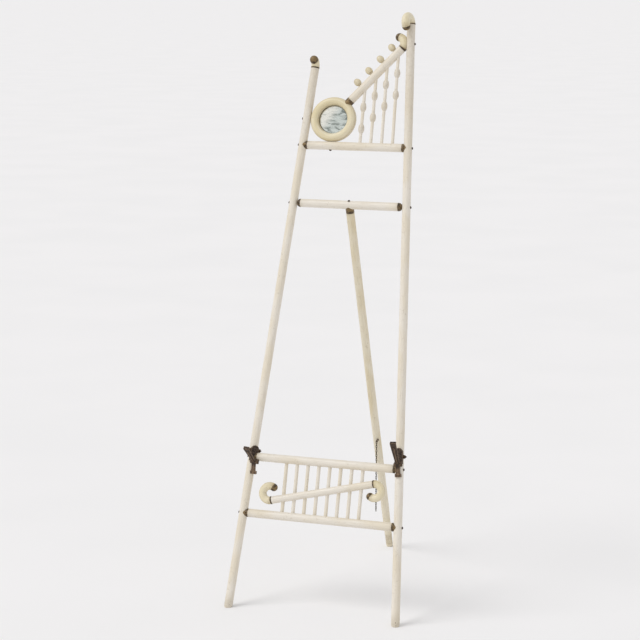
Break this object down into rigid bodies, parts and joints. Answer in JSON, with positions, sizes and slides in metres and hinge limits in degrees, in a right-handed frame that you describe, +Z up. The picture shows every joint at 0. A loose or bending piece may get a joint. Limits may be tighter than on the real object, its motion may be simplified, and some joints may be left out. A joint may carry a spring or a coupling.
{
  "type": "display easel",
  "caption": "Floor-standing stick-and-ball easel of painted dowels with a round bevelled mirror, hooked rail ends, folding picture rests and a hinged rear leg.",
  "frame": {"origin": "floor level, at the middle of the easel's footprint with the chain left out", "axes": "+Z up; +X to the right of a viewer who faces the front; +Y toward the rear leg"},
  "size_m": [0.4808, 0.698, 1.5393],
  "materials": {
    "ivory_paint": "off-white oil paint over turned hardwood, worn, with dark bronze paint in the joints",
    "aged_paint": "yellowed ivory paint over turned hardwood, dark bronze tips",
    "leg_paint": "yellowed ivory paint, rubbed and stained",
    "backboard": "bare aged softwood",
    "cast_bronze": "cast iron with a dark bronze wash",
    "iron": "darkened steel",
    "chain": "tarnished brass wire links",
    "mirror_glass": "silvered glass with a wide bevel and light foxing"
  },
  "bodies": {
    "frame": {"bottom_rail": "ivory_paint", "bottom_rail_screw_left": "iron", "bottom_rail_screw_right": "iron", "knob_1": "aged_paint", "knob_2": "aged_paint", "knob_3": "aged_paint", "knob_4": "aged_paint", "left_rest_bolt": "iron", "left_rest_nut": "iron", "left_rest_pin": "iron", "left_rest_plate": "cast_bronze", "left_upright": "ivory_paint", "left_upright_crook": "aged_paint", "lower_diagonal_crook_left": "aged_paint", "lower_diagonal_crook_right": "aged_paint", "lower_diagonal_rail": "ivory_paint", "lower_rail": "ivory_paint", "lower_rail_screw_left": "iron", "lower_rail_screw_right": "iron", "lower_spindle_1": "ivory_paint", "lower_spindle_2": "ivory_paint", "lower_spindle_3": "ivory_paint", "lower_spindle_4": "ivory_paint", "lower_spindle_5": "ivory_paint", "lower_spindle_6": "ivory_paint", "lower_spindle_7": "ivory_paint", "lower_spindle_8": "ivory_paint", "mirror_backboard": "backboard", "mirror_bottom_screw": "iron", "mirror_glass": "mirror_glass", "mirror_ring": "aged_paint", "mirror_side_screw": "iron", "right_rest_bolt": "iron", "right_rest_nut": "iron", "right_rest_pin": "iron", "right_rest_plate": "cast_bronze", "right_upright": "ivory_paint", "right_upright_crook": "aged_paint", "top_rail": "ivory_paint", "top_rail_screw_left": "iron", "top_rail_screw_right": "iron", "upper_crook_screw": "iron", "upper_diagonal_crook": "aged_paint", "upper_diagonal_rail": "ivory_paint", "upper_spindle_1": "ivory_paint", "upper_spindle_2": "ivory_paint", "upper_spindle_3": "ivory_paint", "upper_spindle_4": "ivory_paint"},
    "rear_leg": {"pivot_rail": "ivory_paint", "pivot_screw_left": "iron", "pivot_screw_right": "iron", "rear_leg": "leg_paint", "rear_leg_screw": "iron", "chain_eye": "iron"},
    "chain": {"stay_chain": "chain"},
    "left_rest": {"left_rest_arm": "cast_bronze"},
    "right_rest": {"right_rest_arm": "cast_bronze"}
  },
  "joints": [
    {"name": "rear_leg_fold", "type": "hinge", "parent": "frame", "child": "rear_leg", "pos_m": [0, -0.04309, 1.03781], "axis": [-1, 0, 0], "range_deg": [0, 33.7]},
    {"name": "chain_swing", "type": "hinge", "parent": "rear_leg", "child": "chain", "pos_m": [0.00359, 0.19528, 0.34766], "axis": [1, 0, 0], "range_deg": [0, 20.3]},
    {"name": "left_rest_fold", "type": "hinge", "parent": "frame", "child": "left_rest", "pos_m": [-0.19114, -0.2482, 0.37343], "axis": [-0.9977, 0.0184, 0.0646], "range_deg": [0, 62]},
    {"name": "right_rest_fold", "type": "hinge", "parent": "frame", "child": "right_rest", "pos_m": [0.20327, -0.24558, 0.39954], "axis": [-0.9964, -0.0687, -0.0502], "range_deg": [0, 50]}
  ],
  "couplings": [
    {"joint": "chain_swing", "follows": "rear_leg_fold", "ratio": 0.6}
  ]
}
